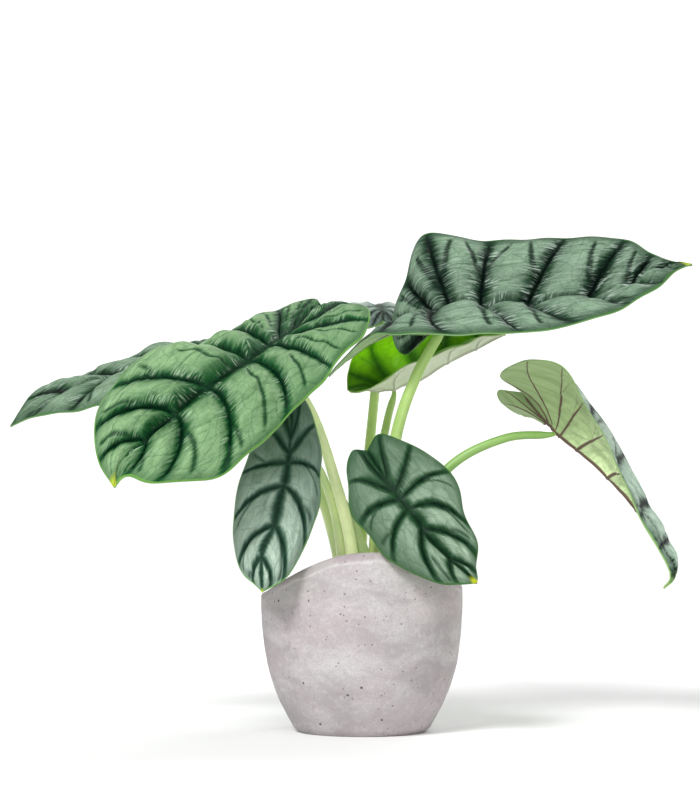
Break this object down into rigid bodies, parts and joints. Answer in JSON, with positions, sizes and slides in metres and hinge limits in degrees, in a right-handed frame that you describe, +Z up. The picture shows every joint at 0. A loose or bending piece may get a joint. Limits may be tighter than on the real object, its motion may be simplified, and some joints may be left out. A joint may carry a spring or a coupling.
{
  "type": "potted dragon scale alocasia",
  "caption": "Potted alocasia: broad quilted leaves with deep veins on slim arching stalks, in a round concrete pot with a wavy rim.",
  "frame": {"origin": "middle of the pot's flat underside, on the surface it stands on", "axes": "+Z up; -Y is the front, where the pot's rim rises to its high hill; +X to the right seen from the front, the way the tallest leaf points"},
  "size_m": [0.4432, 0.3189, 0.326],
  "materials": {
    "concrete": "matt pale grey cast concrete with fine air pits",
    "soil": "loose dark bark and peat potting mix",
    "crown": "dull brown-green stem with old sheaths",
    "stalk": "smooth pale green, slightly glossy",
    "leaf": "silvery grey-green quilted panels between near-black veins, satin",
    "young_leaf": "bright fresh green, satin, pale underside"
  },
  "bodies": {
    "root": {"pot": "concrete", "soil": "soil", "crown": "crown", "leaf_left_large": "leaf", "leaf_right_large": "leaf", "leaf_young_green": "young_leaf", "leaf_back_left": "leaf", "leaf_back": "leaf", "leaf_hanging_left": "leaf", "leaf_front_small": "leaf", "leaf_right_folded": "leaf", "petiole_left_large": "stalk", "petiole_right_large": "stalk", "petiole_young_green": "stalk", "petiole_back_left": "stalk", "petiole_back": "stalk", "petiole_hanging_left": "stalk", "petiole_front_small": "stalk", "petiole_right_folded": "stalk"}
  },
  "joints": []
}
